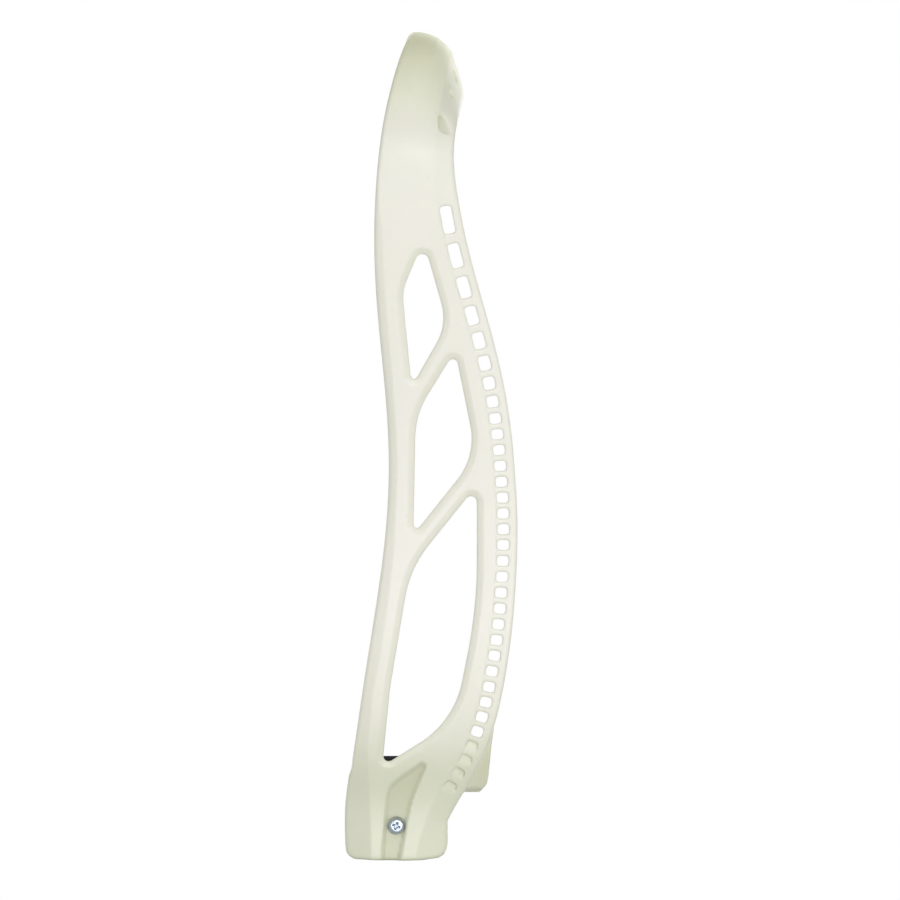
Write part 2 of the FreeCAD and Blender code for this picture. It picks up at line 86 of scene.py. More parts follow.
def smooth_curve(points, spacing=1.5):
    """Natural cubic spline through the points, by chord length, sampled every `spacing` mm."""
    p = np.array(points, float)
    t = np.r_[0, np.cumsum(np.linalg.norm(np.diff(p, axis=0), axis=1))]
    h = np.diff(t)
    slope = np.diff(p, axis=0) / h[:, None]
    bend = np.zeros_like(p)
    bend[1:-1] = 6 * np.diff(slope, axis=0)
    system = np.diag(np.r_[1, 2 * (h[:-1] + h[1:]), 1])
    system = system + np.diag(np.r_[0, h[1:]], 1) + np.diag(np.r_[h[:-1], 0], -1)
    m = np.linalg.solve(system, bend)
    u = np.linspace(0, t[-1], int(t[-1] / spacing) + 2)
    i = np.clip(np.searchsorted(t, u) - 1, 0, len(p) - 2)
    a = ((t[i + 1] - u) / h[i])[:, None]
    b = 1 - a
    curved = ((a ** 3 - a) * m[i] + (b ** 3 - b) * m[i + 1]) * (h[i] ** 2)[:, None] / 6
    return a * p[i] + b * p[i + 1] + curved


right_outline = smooth_curve(FACE)
right_outline[-1] = FACE[-1]
face_outline = np.vstack([right_outline, right_outline[-2::-1] * [-1, 1]])
front_edge = smooth_curve(FRONT_EDGE)
back_edge = smooth_curve(BACK_EDGE, 0.5)
widest = round(face_outline[:, 0].max() * 2, 1)
print("face outline:", len(face_outline), "points; widest", widest, "mm")

# %% [markdown]
# ## Solids as distances
#
# A head like this can't be one grid of points: its wall is pierced by windows and a ladder of
# holes, and its throat is nearly solid. So it is made another way. At every point of a fine lattice
# the script works out how far the nylon's surface is, negative inside. Solids are then joined and
# cut with arithmetic: the larger of two distances is what two solids share, the smaller is both
# together. Rounding that choice off where the two are nearly equal gives each edge the small radius
# that a mould always has.

# %% The lattice and its distances
cell = 0.6
room = 2 * cell
x = np.arange(0, half_width + room, cell)
y = np.arange(-20.4, 45.0, cell)
z = np.arange(-1.8, head_top + room, cell)
X, Y, Z = x[:, None, None], y[None, :, None], z[None, None, :]


def cut_corner(a, b, radius):
    """The larger of two distances, eased where they differ by less than the radius: it rounds
    the outer edge between two surfaces."""
    return np.maximum(a, b) + np.maximum(radius - np.abs(a - b), 0) ** 2 / (4 * radius)


def fill_corner(a, b, radius):
    """The smaller of two distances, eased the same way: it fillets an inner corner."""
    return -cut_corner(-a, -b, radius)


def to_outline(loop, a, b):
    """Distance from each point of the grid a by b to a closed outline, negative inside, by the
    nearest of its straight pieces. Also the place along the outline, counted in its points."""
    start, end = loop, np.roll(loop, -1, axis=0)
    run = end - start
    squared = np.maximum((run ** 2).sum(1), 1e-9)
    best = np.empty((len(a), len(b)))
    place = np.empty_like(best)
    for i, value in enumerate(a):
        p = np.stack([np.full(len(b), value), b], 1)[:, None, :]
        t = np.clip(((p - start) * run).sum(2) / squared, 0, 1)
        gap = np.linalg.norm(p - start - t[..., None] * run, axis=2)
        nearest = gap.argmin(1)
        row = np.arange(len(b))
        straddles = (start[:, 1] > p[..., 1]) != (end[:, 1] > p[..., 1])
        rise = np.where(run[:, 1] == 0, 1e-9, run[:, 1])
        left = p[..., 0] < start[:, 0] + (p[..., 1] - start[:, 1]) * run[:, 0] / rise
        inside = (straddles & left).sum(1) % 2 == 1
        best[i] = np.where(inside, -1, 1) * gap[row, nearest]
        place[i] = nearest + t[row, nearest]
    return best, place


def rounded(corners, step=0.7):
    """A closed outline from corners of place and radius: each corner becomes an arc that touches
    both sides."""
    p = np.array([c[:2] for c in corners], float)
    loop = []
    for i, radius in enumerate(c[2] for c in corners):
        back, on = p[i - 1] - p[i], p[(i + 1) % len(p)] - p[i]
        back, on = back / np.linalg.norm(back), on / np.linalg.norm(on)
        half = math.acos(float(np.clip(back @ on, -1, 1))) / 2
        if radius == 0:
            loop.append(p[i][None])
            continue
        middle = back + on
        centre = p[i] + middle / np.linalg.norm(middle) * radius / math.sin(half)
        first = p[i] + back * radius / math.tan(half) - centre
        last = p[i] + on * radius / math.tan(half) - centre
        turn = math.atan2(first[0] * last[1] - first[1] * last[0], first @ last)
        angle = np.linspace(0, turn, max(3, int(abs(turn) * radius / step)))
        loop.append(centre + np.stack([first[0] * np.cos(angle) - first[1] * np.sin(angle),
                                       first[0] * np.sin(angle) + first[1] * np.cos(angle)], 1))
    return np.vstack(loop)


to_face, station = to_outline(face_outline, x, z)
print("lattice:", len(x), "by", len(y), "by", len(z), "points on one side of the middle")

# %% [markdown]
# ## The skin of the scoop
#
# Seen in section the scoop isn't flat: the outside runs level, bends at a crease, and a flange
# turns in towards the pocket so that the strings lie out of the ball's way. The section is
# strongest at the tip and fades down the sides. It is one curve of depth against how far the
# surface has fallen in, scaled by where on the outline it stands.

# %% The scoop's section
# Depth behind the crease, then how far the surface has fallen in towards the pocket.
FLANGE_FALL = [(-14, 0.0), (-11, 0.1), (-8, 0.8), (-5, 2.1), (-2, 4.5), (0, 6.8), (1.5, 12.0),
               (3.8, 18.6), (6.2, 25.5)]
flange_width = 4.6
flange_starts, flange_whole = 150, 200
crease_at_tip, crease_at_side = 19.8, 13.8
crease_turns, crease_rise = 262, 34.2
side_fall, share_power = 0.14, 1.2
fall_steps, soft_window = 561, 23


def ease(low, high, value):
    """0 below low, 1 above high, and a smooth S between them."""
    t = np.clip((value - low) / (high - low), 0, 1)
    return t * t * (3 - 2 * t)


along = np.gradient(face_outline, axis=0)
outward_z = -along[:, 0] / np.linalg.norm(along, axis=1)
share = side_fall + (1 - side_fall) * np.maximum(outward_z, 0) ** share_power
share *= np.clip((face_outline[:, 1] - flange_starts) / (flange_whole - flange_starts), 0, 1)
up_the_scoop = np.clip((face_outline[:, 1] - crease_turns) / crease_rise, 0, 1)
crease = crease_at_side + (crease_at_tip - crease_at_side) * up_the_scoop
fall_depth, fall_in = np.array(FLANGE_FALL).T
whole_fall = np.interp(flange_width, fall_depth, fall_in)
edge_height = face_outline[:, 1] - share * whole_fall * outward_z
highest_edge = BACK_EDGE[-1][0]
edge_depth = np.interp(np.minimum(edge_height, highest_edge), back_edge[:, 0], back_edge[:, 1])
stations = np.arange(len(face_outline))
share_here = np.interp(station, stations, share)[:, None, :]
crease_here = np.interp(station, stations, crease)[:, None, :]
edge_here = np.interp(station, stations, edge_depth)[:, None, :]

# The section's corners are softened by a moving average, with its ends carried on straight.
t_fine = np.linspace(-20, 8, fall_steps)
fall_fine = np.interp(t_fine, fall_depth, fall_in)
soften = np.hanning(soft_window)
fall_fine = np.pad(fall_fine, soft_window // 2, mode="reflect", reflect_type="odd")
fall_fine = np.convolve(fall_fine, soften / soften.sum(), "valid")
grow = np.where(Y > crease_here, flange_width / np.maximum(edge_here - crease_here, 0.5), 1.0)
t_here = (Y - crease_here) * grow
fall_here = share_here * np.interp(t_here, t_fine, fall_fine)
slope_here = share_here * grow * np.interp(t_here, t_fine, np.gradient(fall_fine, t_fine))
steepness = np.sqrt(1 + slope_here ** 2)
skin = (to_face[:, None, :] + fall_here) / steepness
print("the flange falls in by", round(float(whole_fall), 1), "mm at the tip")

# %% [markdown]
# ## The side drawing: outline, windows, ladder
#
# From the side the head is a long leaf with three slanting windows. Behind them runs a ladder of
# string holes, close together where the pocket needs fine tuning and longer towards the scoop. The
# holes follow the back edge, so they are laid out by walking along it: a hole, a bridge of nylon,
# the next hole.

# %% Outline and windows
# Each window is a loop of corners: depth, height and radius.
WINDOWS = [
    [(9.7, 220.7, 2.1), (2.4, 203.6, 18), (5.7, 170.4, 0.9), (17.9, 191.7, 18)],
    [(20.9, 181.5, 1.5), (28.3, 144.8, 23), (6.4, 117.4, 0.9), (7.2, 159.5, 30)],
    [(28.5, 133.4, 1.8), (28.5, 90.5, 170), (20.4, 50.1, 33), (-4.7, 34.4, 1.6),
     (-1.9, 62.3, 100), (5.2, 104.4, 41)],
]
front_side, back_side = front_edge[:, ::-1], back_edge[:, ::-1]
mouth = [(-17.9, 3.4), (-16.9, 1.9), (-15.0, 0.75), (-8, 0.3), (3, 0.15), (9, 0.3), (15.2, 1.2),
         (17.0, 2.4), (17.9, 4.2), (18.4, 7)]
above = [(24.4, 320), (6, 320)]
side_loop = np.vstack([front_side[::-1], mouth, back_side, above])
to_side = to_outline(side_loop, y, z)[0][None]
rim_loss = 0.25    # each window is cut this much outside its loop, for the rounding of its edge
to_window = np.min([to_outline(rounded(w), y, z)[0] for w in WINDOWS], axis=0)[None] - rim_loss

# %% The ladder of string holes
hole_width, hole_length, hole_corner, hole_inset, hole_bridge = 4.1, 3.6, 1.0, 5.1, 2.16
extra_length, longer_holes, length_power = 6.4, 9, 1.7
extra_bridge, wider_bridges = 1.3, 8
through_holes, pockets = 29, 4
ladder_top = 230.0
hole_reach, far_off = 10, 50.0
walk = np.r_[0, np.cumsum(np.linalg.norm(np.diff(back_edge, axis=0), axis=1))]


def ladder_places():
    """Distance along the back edge and length of each hole, from the scoop down: the length
    shrinks with a power of the hole's number, and the bridge between two holes shrinks in a
    straight line, until both are constant."""
    i = np.arange(through_holes + pockets)
    length = hole_length + extra_length * np.maximum(0, 1 - i / longer_holes) ** length_power
    bridge = hole_bridge + extra_bridge * np.maximum(0, 1 - i / wider_bridges)
    gaps = (length[1:] + length[:-1]) / 2 + bridge[:-1]
    first = np.interp(ladder_top, back_edge[:, 0], walk)
    return first - np.r_[0, np.cumsum(gaps)], length


def ladder_frames(places):
    """Middle of each hole in depth and height, and the direction of the edge beside it, by the
    difference between the edge's points a step before and a step after."""
    def edge_at(place):
        return [np.interp(place, walk, back_edge[:, column]) for column in (0, 1)]

    step = 1.0
    height, depth = edge_at(places)
    (z_after, y_after), (z_before, y_before) = edge_at(places + step), edge_at(places - step)
    dz, dy = z_after - z_before, y_after - y_before
    size = np.hypot(dz, dy)
    dz, dy = dz / size, dy / size
    return depth - dz * hole_inset, height + dy * hole_inset, dy, dz


def ladder_distance(places, lengths):
    """Distance to the nearest rounded rectangle, each turned to lie along the edge."""
    cy, cz, dy, dz = ladder_frames(places)
    gap = np.full((len(y), len(z)), far_off)
    for ty, tz, hy, hz, long in zip(dy, dz, cy, cz, lengths):
        near_y, near_z = np.abs(y - hy) < hole_reach, np.abs(z - hz) < hole_reach
        py, pz = y[near_y][:, None] - hy, z[near_z][None] - hz
        u = np.abs(py * ty + pz * tz) - long / 2 + hole_corner
        v = np.abs(py * tz - pz * ty) - hole_width / 2 + hole_corner
        box = np.hypot(np.maximum(u, 0), np.maximum(v, 0))
        box = box + np.minimum(np.maximum(u, v), 0) - hole_corner
        patch = np.ix_(near_y, near_z)
        gap[patch] = np.minimum(gap[patch], box)
    return gap[None]


hole_places, hole_lengths = ladder_places()
to_hole = ladder_distance(hole_places[:through_holes], hole_lengths[:through_holes])
to_pocket = ladder_distance(hole_places[through_holes:], hole_lengths[through_holes:])
longest = round(hole_lengths[0], 1)
print("ladder:", through_holes, "holes and", pockets, "pockets; the longest is", longest, "mm")

# %% [markdown]
# ## Relief on the outside
#
# The outside of a sidewall is never one plane. A chamfer runs up the front rail, a bevel rings each
# window, and the string ladder sits on a strip of its own, a little lower than the rail. All of
# these are drawn in the side view as the depth by which the surface is sunk, so they can be added
# to the skin's distance.

# %% Chamfers, bevels and the ladder's strip
# Where each chamfer starts and how deep it ends: height, depth of its crease, sunk depth at the
# edge.
FRONT_CREASE = [(-3, -8.9, 7.0), (12, -8.9, 7.0), (24, -9.4, 5.6), (31, -9.6, 3.6),
                (40, -9.7, 2.6), (58, -8.4, 2.3), (78, -4.6, 2.2), (110, -0.6, 2.0),
                (143, 0.8, 2.0), (173, -1.2, 2.0), (200, -3.5, 1.8), (225, -4.6, 1.2),
                (246, -6.9, 0.0), (300, 0.0, 0.0)]
BACK_CREASE = [(-3, 5.4, 7.0), (7, 7.8, 6.6), (17, 11.0, 5.0), (25.5, 15.2, 3.0),
               (34, 18.0, 1.6), (46, 24.0, 0.7), (60, 30.0, 0.0), (300, 20.0, 0.0)]
chamfer_overrun = 1.3
collar_back = 18.3
front_here = np.interp(Z, front_edge[:, 0], front_edge[:, 1])
back_here = np.interp(Z, back_edge[:, 0], back_edge[:, 1])


def chamfer(crease, edge, side):
    """Sunk depth of a flat chamfer: nothing at its crease, the whole depth at the rail's edge,
    and straight between and a little beyond."""
    height, depth, sunk = np.array(crease).T
    crest = np.interp(Z, height, depth)
    part = np.clip((Y - crest) / (edge - crest), 0, chamfer_overrun)
    return np.interp(Z, height, sunk) * part * (side * (Y - crest) > 0)


bevel_width, bevel_depth = 2.6, 1.7
strip_width, strip_depth, strip_shoulder = 8.1, 0.5, 0.9
strip_begins, strip_ends = (20, 28), (226, 240)
relief_softness = 0.3
softness_lift = 0.07    # what the softening adds where nothing is sunk
to_back = -to_outline(np.vstack([back_side, [(-60, 280), (-60, 10)]]), y, z)[0][None]
on_strip = ease(*strip_begins, Z) * (1 - ease(*strip_ends, Z))
strip = on_strip * ease(strip_width, strip_width - strip_shoulder, to_back) * strip_depth
bevel = bevel_depth * np.clip(1 - to_window / bevel_width, 0, 1)
relief = cut_corner(chamfer(FRONT_CREASE, front_here, -1), bevel, relief_softness)
back_chamfer = chamfer(BACK_CREASE, np.maximum(back_here, collar_back), 1)
relief = cut_corner(relief, back_chamfer, relief_softness)
relief = cut_corner(relief, strip, relief_softness) - softness_lift
print("deepest relief:", round(float(relief.max()), 1), "mm")

# %% [markdown]
# ## The throat
#
# Below the ball stop the two sidewalls close into an almost solid block that grips the shaft. It
# has an octagonal socket, a sunk panel round the screw and a hollow shelf for the foam. Behind them
# a heel bridges the sidewalls, set in from their outside by a step. The last places of the ladder
# aren't cut through: they are pockets whose floors slope, deepest at the end nearest the scoop.

# %% Shelf, heel, socket and panel
foam_low, foam_high = lowest["ball_stop_foam"], highest["ball_stop_foam"]
film_low = lowest["adhesive_film"]
foam_thickness, film_thickness = 3.0, 0.25
stop_radius = 79.0
shelf_softness, wall_softness, outline_softness = 1.0, 1.2, 1.7
heel_softness, heel_edge, heel_join = 1.0, 0.8, 0.5
window_softness, hole_softness, pocket_softness = 0.9, 0.6, 0.5
socket_softness, socket_corner = 1.0, 0.8
shelf_radius = stop_radius + foam_thickness + film_thickness
arc_centre = film_low[2] + shelf_radius
heel_thickness, heel_step, heel_wall = 5.35, 4.6, 2.6
heel_wall_grows, heel_wall_ends = 6, (40, 53)
roof_thickness, foam_gap = 2.75, 0.4
socket_half_width, socket_half_depth = 11.3, 14.5
socket_roof = film_low[2] - roof_thickness
corner_width, corner_depth = 6.1, 7.3
panel_depth, panel_lip, panel_floor = 2.3, 0.5, -1.3
# Side outlines of the heel and of the panel round the screw: depth, height and corner radius.
HEEL = [(20, 57, 0), (37.2, 57, 0), (34.2, 43, 20), (33.0, 31, 2), (32.4, 27.6, 1),
        (29.7, 24.4, 1), (20, 24.4, 0)]
PANEL = [(-6.0, -6, 0), (-3.3, 26.9, 9), (12.6, 37.9, 1.4), (5.4, 21.5, 50), (0.3, -6, 0)]

from_arc = np.where(Z < arc_centre, np.hypot(X, Z - arc_centre), np.abs(X))
cavity = cut_corner(skin + wall, from_arc - shelf_radius, shelf_softness)
to_panel = to_outline(rounded(PANEL), y, z)[0][None]
sink_panel = panel_depth * ease(panel_lip, panel_floor, to_panel)
outside = skin + np.maximum(relief, 0) / steepness + sink_panel


def pocket_floor(deep=1.9, shallow=0.2):
    """Depth of the pockets' floor: a ramp in each, deepest at the end nearest the scoop."""
    cy, cz, dy, dz = (v[:, None, None] for v in ladder_frames(hole_places[through_holes:]))
    along_edge = ((Y - cy) * dy + (Z - cz) * dz) / hole_length
    nearest = np.take_along_axis(along_edge, np.abs(along_edge).argmin(axis=0)[None], 0)
    return shallow + (deep - shallow) * ease(-0.5, 0.5, nearest)


head = cut_corner(outside, -cavity, wall_softness)
head = cut_corner(head, to_side, outline_softness)

# The heel has a floor under the shelf and two sides behind the foam, which run out into the
# sidewalls.
heel = to_outline(rounded(HEEL), y, z)[0][None]
heel = cut_corner(heel, to_face[:, None, :] + heel_step, heel_edge)
behind_foam = foam_high[1] + foam_gap - Y
wall_grows = ease(foam_high[1], foam_high[1] + heel_wall_grows, Y)
heel_wall_here = heel_wall * wall_grows * (1 - ease(*heel_wall_ends, Z))
hollow = cut_corner(skin + heel_step + heel_wall_here, from_arc - shelf_radius, heel_softness)
hollow = cut_corner(hollow, behind_foam, heel_join)
hollow = np.minimum(hollow, np.maximum(cavity, -behind_foam))
heel = cut_corner(heel, -hollow, heel_softness)
heel = cut_corner(heel, from_arc - shelf_radius - heel_thickness, heel_softness)
head = fill_corner(head, heel, heel_join)

head = cut_corner(head, -to_window, window_softness)
head = cut_corner(head, -to_hole, hole_softness)
pocket = np.maximum(to_pocket, -(outside + pocket_floor()))
head = cut_corner(head, -pocket, pocket_softness)

# The socket is an octagon: a rectangle whose four corners are cut off, the width and depth of the
# cut given.
octagon = np.maximum(X - socket_half_width, np.abs(Y) - socket_half_depth)
diagonal = ((X - socket_half_width) * corner_depth
            + (np.abs(Y) - socket_half_depth + corner_depth) * corner_width)
octagon = cut_corner(octagon, diagonal / np.hypot(corner_width, corner_depth), socket_corner)
socket = cut_corner(octagon, Z - socket_roof, socket_softness)
head = cut_corner(head, -socket, hole_softness)
shelf_height, socket_depth = round(film_low[2], 1), round(socket_roof, 1)
print("throat: shelf at", shelf_height, "mm, socket", socket_depth, "mm deep")

# %% [markdown]
# ## String holes in the scoop and the heel
#
# The top string is laced through round-ended holes in the scoop's flange. They point mostly to the
# back, with a lean outwards, and are long along the outline. The pocket's bottom string goes
# through four more in the heel. Each is a short slot with its own axes, so its distance is worked
# out only in the small block of the lattice around it.

# %% Slots, each with its own axes
slot_half_depth, slot_block = 7, 9


def cut_slot(solid, centre, along, out, length, width, softness=0.5):
    """Cut a round-ended slot through the solid: the distance is that to a line piece which lies
    along the slot, less half the slot's width, and it reaches a little way in and out."""
    centre, along, out = (np.array(v, float) for v in (centre, along, out))
    across = np.cross(out, along)
    near = [np.abs(axis - c) < slot_block for axis, c in zip((x, y, z), centre)]
    block = np.ix_(*near)
    px, py, pz = (axis[n] - c for axis, n, c in zip((x, y, z), near, centre))
    px, py, pz = px[:, None, None], py[None, :, None], pz[None, None, :]
    u = np.abs(px * along[0] + py * along[1] + pz * along[2])
    u = np.maximum(u - (length - width) / 2, 0)
    v = px * across[0] + py * across[1] + pz * across[2]
    w = np.abs(px * out[0] + py * out[1] + pz * out[2]) - slot_half_depth
    slot = np.maximum(np.hypot(u, v) - width / 2, w)
    solid[block] = cut_corner(solid[block], -slot, softness)


scoop_pairs, scoop_hole_pitch, hole_place, hole_lean = 4, 26.0, 0.42, 0.5
scoop_hole_length, scoop_hole_width, scoop_hole_softness = 6.8, 3.6, 1.0
run = np.r_[0, np.cumsum(np.linalg.norm(np.diff(right_outline[::-1], axis=0), axis=1))]
from_tip = scoop_hole_pitch * (np.arange(scoop_pairs) + 0.5)
at = len(right_outline) - 1 - np.interp(from_tip, run, np.arange(len(run)))
on_outline = (*face_outline.T, *along.T, share, crease, edge_depth)
px, pz, run_x, run_z, hole_share, hole_crease, hole_edge = (
    np.interp(at, stations, values) for values in on_outline)
normal = np.stack([run_z, -run_x], 1)
normal /= np.linalg.norm(normal, axis=1)[:, None]
hole_fall = hole_share * np.interp(flange_width * hole_place, fall_depth, fall_in)
hole_depth = hole_crease + (hole_edge - hole_crease) * hole_place
for i, (nx, nz) in enumerate(normal):
    centre = (px[i] - nx * hole_fall[i], hole_depth[i], pz[i] - nz * hole_fall[i])
    out = np.array([nx * hole_lean, 1, nz * hole_lean]) / math.hypot(1, hole_lean)
    cut_slot(head, centre, (-nz, 0, nx), out, scoop_hole_length, scoop_hole_width,
             scoop_hole_softness)

heel_pitch, heel_place, heel_hole_length, heel_hole_width = 7.6, 29.2, 4.0, 3.0
heel_pairs = 2
radius = shelf_radius + heel_thickness / 2
for i in np.arange(heel_pairs) + 0.5:
    turn = i * heel_pitch / radius
    sine, cosine = math.sin(turn), math.cos(turn)
    centre = (radius * sine, heel_place, arc_centre - radius * cosine)
    cut_slot(head, centre, (cosine, 0, sine), (sine, 0, -cosine), heel_hole_length, heel_hole_width)
print("slots:", 2 * scoop_pairs, "in the scoop and", 2 * heel_pairs, "in the heel")

# %% [markdown]
# ## Both sides, and the screw's hole
#
# The head is its own mirror image apart from the screw, which goes in from +X. So the lattice is
# reflected, and the screw's hole and the round seat for its head are cut on that side only.

# %% Mirror, then the screw's hole
solid = np.concatenate([head[:0:-1], head]).astype(np.float32)
x_all = np.concatenate([-x[:0:-1], x])
screw_low, screw_high = lowest["head_screw"], highest["head_screw"]
screw_y, screw_z = (screw_low[1] + screw_high[1]) / 2, (screw_low[2] + screw_high[2]) / 2
head_radius = (screw_high[1] - screw_low[1]) / 2
shank_radius, pan_height = 1.5, 2.2
shank_gap, seat_gap = 0.05, 0.3
bore_softness, seat_softness = 0.3, 0.4
seat_floor = screw_high[0] - pan_height
around = np.hypot(Y - screw_y, Z - screw_z)
right = len(x) - 1
bore = np.maximum(around - shank_radius - shank_gap, 2 - X)
seat = np.maximum(around - head_radius - seat_gap, seat_floor - X)
right_half = cut_corner(solid[right:], -bore, bore_softness)
solid[right:] = cut_corner(right_half, -seat, seat_softness)
print("screw's hole at height", round(screw_z, 1), "mm")

# %% [markdown]
# ## From distances to a mesh
#
# The surface is where the distance is zero. Every lattice cell that the surface passes through gets
# one point, at the mean of the places where the surface crosses the cell's edges, and every lattice
# edge that it crosses gets one four-sided face between the four cells round it. The points are then
# spread evenly and put back on the surface.

# %% Surface from the lattice
def surface_of(field, axes):
    """One point per crossed cell and one face per crossed edge, all as whole arrays."""
    inside = field < 0
    shape = np.array(field.shape) - 1
    count = np.zeros(shape, np.uint8)
    for i, j, k in itertools.product((0, 1), repeat=3):
        count += inside[i:shape[0] + i, j:shape[1] + j, k:shape[2] + k]
    crossed = (count > 0) & (count < 8)
    cells = np.stack(np.nonzero(crossed), 1)
    number = np.full(shape, -1, np.int32)
    number[crossed] = np.arange(len(cells))
    total, hits = np.zeros((len(cells), 3)), np.zeros(len(cells))
    quads = []
    for axis in range(3):
        others = [a for a in range(3) if a != axis]
        for b, c in itertools.product((0, 1), repeat=2):
            offset = np.zeros(3, int)
            offset[others] = b, c
            near, far = cells + offset, cells + offset
            far[:, axis] += 1
            f0, f1 = field[tuple(near.T)], field[tuple(far.T)]
            cross = (f0 < 0) != (f1 < 0)
            point = np.repeat(offset[None].astype(float), len(cells), 0)
            point[:, axis] += f0 / np.where(f0 == f1, 1, f0 - f1)
            total += point * cross[:, None]
            hits += cross
        ahead = np.moveaxis(inside, axis, 0)
        change = np.moveaxis(ahead[:-1] != ahead[1:], 0, axis)
        inner = [slice(None)] * 3
        for a in others:
            inner[a] = slice(1, -1)
        edge = np.stack(np.nonzero(change[tuple(inner)]), 1)
        edge[:, others] += 1
        steps = np.zeros((4, 3), int)
        steps[:, others] = [(-1, -1), (0, -1), (0, 0), (-1, 0)]
        quad = np.stack([number[tuple((edge + s).T)] for s in steps], 1)
        flip = inside[tuple(edge.T)] == (axis == 1)
        quad[flip] = quad[flip, ::-1]
        quads.append(quad)
    origin = np.array([a[0] for a in axes])
    return origin + cell * (cells + total / hits[:, None]), np.vstack(quads)


def distance_at(field, axes, points):
    """Distance and its slope at any points, read between the eight lattice values round each."""
    origin = np.array([a[0] for a in axes])
    g = (points - origin) / cell
    base = np.clip(np.floor(g).astype(int), 0, np.array(field.shape) - 2)
    f = g - base
    value, slope = np.zeros(len(points)), np.zeros((len(points), 3))
    for corner in itertools.product((0, 1), repeat=3):
        here = field[tuple((base + corner).T)]
        side = [f[:, a] if corner[a] else 1 - f[:, a] for a in range(3)]
        sign = [1 if c else -1 for c in corner]
        value += here * side[0] * side[1] * side[2]
        slope[:, 0] += here * sign[0] * side[1] * side[2]
        slope[:, 1] += here * side[0] * sign[1] * side[2]
        slope[:, 2] += here * side[0] * side[1] * sign[2]
    return value, slope / cell


def settle(field, axes, points, quads, rounds=3):
    """Move each point half way to the mean of its neighbours, then along the slope back to
    distance zero."""
    pairs = np.vstack([quads[:, [i, (i + 1) % 4]] for i in range(4)])
    pairs = np.vstack([pairs, pairs[:, ::-1]])
    count = np.bincount(pairs[:, 0], minlength=len(points))[:, None]
    for _ in range(rounds):
        sums = [np.bincount(pairs[:, 0], points[pairs[:, 1], a], len(points)) for a in range(3)]
        mean = np.stack(sums, 1) / count
        points = points + 0.5 * (mean - points)
        for _ in range(2):
            value, slope = distance_at(field, axes, points)
            step = value / np.maximum((slope ** 2).sum(1), 0.1)
            points = points - np.clip(step, -cell, cell)[:, None] * slope
    return points


def as_object(name, points, faces):
    """A smooth mesh object at the origin, from points in millimetres and faces of four corners."""
    mesh = bpy.data.meshes.new(name)
    faces = np.asarray(faces, np.int32)
    mesh.vertices.add(len(points))
    mesh.vertices.foreach_set("co", (np.asarray(points) * MM).astype(np.float32).ravel())
    mesh.loops.add(faces.size)
    mesh.loops.foreach_set("vertex_index", faces.ravel())
    mesh.polygons.add(len(faces))
    starts = np.arange(0, faces.size, faces.shape[1], dtype=np.int32)
    mesh.polygons.foreach_set("loop_start", starts)
    mesh.update(calc_edges=True)
    mesh.validate()
    mesh.shade_smooth()
    piece = bpy.data.objects.new(name, mesh)
    bpy.context.scene.collection.objects.link(piece)
    return piece


axes = (x_all, y, z)
points, quads = surface_of(solid, axes)
points = settle(solid, axes, points, quads)
moulding = as_object("moulded_head", points, quads)
print("moulding:", len(points), "points and", len(quads), "faces")

# %% [markdown]
# ## Fewer faces where it is flat
#
# The lattice spends as many faces on a flat rail as on a string hole. Collapsing the edges that add
# least keeps the holes and fillets and thins the flats. The shading then takes its direction from
# the distance itself, so the thinned flats still look like one smooth surface.

# %% Thin the flats and keep the shading
triangle_limit = 190000
thin = moulding.modifiers.new("thin", "DECIMATE")
thin.ratio = min(1.0, triangle_limit / (2 * len(quads)))
bpy.context.view_layer.objects.active = moulding
with bpy.context.temp_override(object=moulding, active_object=moulding,
                               selected_objects=[moulding]):
    bpy.ops.object.modifier_apply(modifier="thin")
moulding.data.validate()
kept = np.empty(len(moulding.data.vertices) * 3, np.float32)
moulding.data.vertices.foreach_get("co", kept)
slope = distance_at(solid, axes, kept.reshape(-1, 3) / MM)[1]
slope /= np.maximum(np.linalg.norm(slope, axis=1), 1e-6)[:, None]
moulding.data.normals_split_custom_set_from_vertices(slope.tolist())


def read_drawing(points, drawing):
    """Values of a side drawing at the points, each read between the four values round it."""
    g = (points[:, 1:] / MM - (y[0], z[0])) / cell
    base = np.clip(np.floor(g).astype(int), 0, np.array(drawing.shape) - 2)
    (i, j), (u, v) = base.T, (g - base).T
    return (drawing[i, j] * (1 - u) * (1 - v) + drawing[i + 1, j] * u * (1 - v)
            + drawing[i, j + 1] * (1 - u) * v + drawing[i + 1, j + 1] * u * v)


def store(piece, name, values):
    """Keep one value for each point of the piece under a name that a material can read."""
    attribute = piece.data.attributes.new(name, "FLOAT", "POINT")
    attribute.data.foreach_set("value", values.astype(np.float32))


# Painted shade: the sunk panel round the screw and the heel beyond the side outline are darkened in
# the nylon's colour.
hollow_shade_drawing = np.maximum((sink_panel / panel_depth)[0], np.clip(to_side[0], 0, 1))
store(moulding, "sunk", read_drawing(kept.reshape(-1, 3), hollow_shade_drawing))
# Painted shade: faces slanting away from the side, as bevels and flanges do, are darkened and
# greened in the nylon's colour.
store(moulding, "turned", 1 - np.abs(slope[:, 0]))
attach(moulding, "head")
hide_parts("throat", "sidewall_right", "sidewall_left", "scoop")
moulding.data.calc_loop_triangles()
print("thinned to", len(moulding.data.loop_triangles), "triangles")

# %% [markdown]
# ## The ball stop
#
# The foam is a strip cut from sheet and bent into the shelf's hollow. Its section is a rectangle
# with softly rounded corners, a little crowned on top, and that section is carried along the arc.
# Its two ends are closed by rings that shrink to a point.

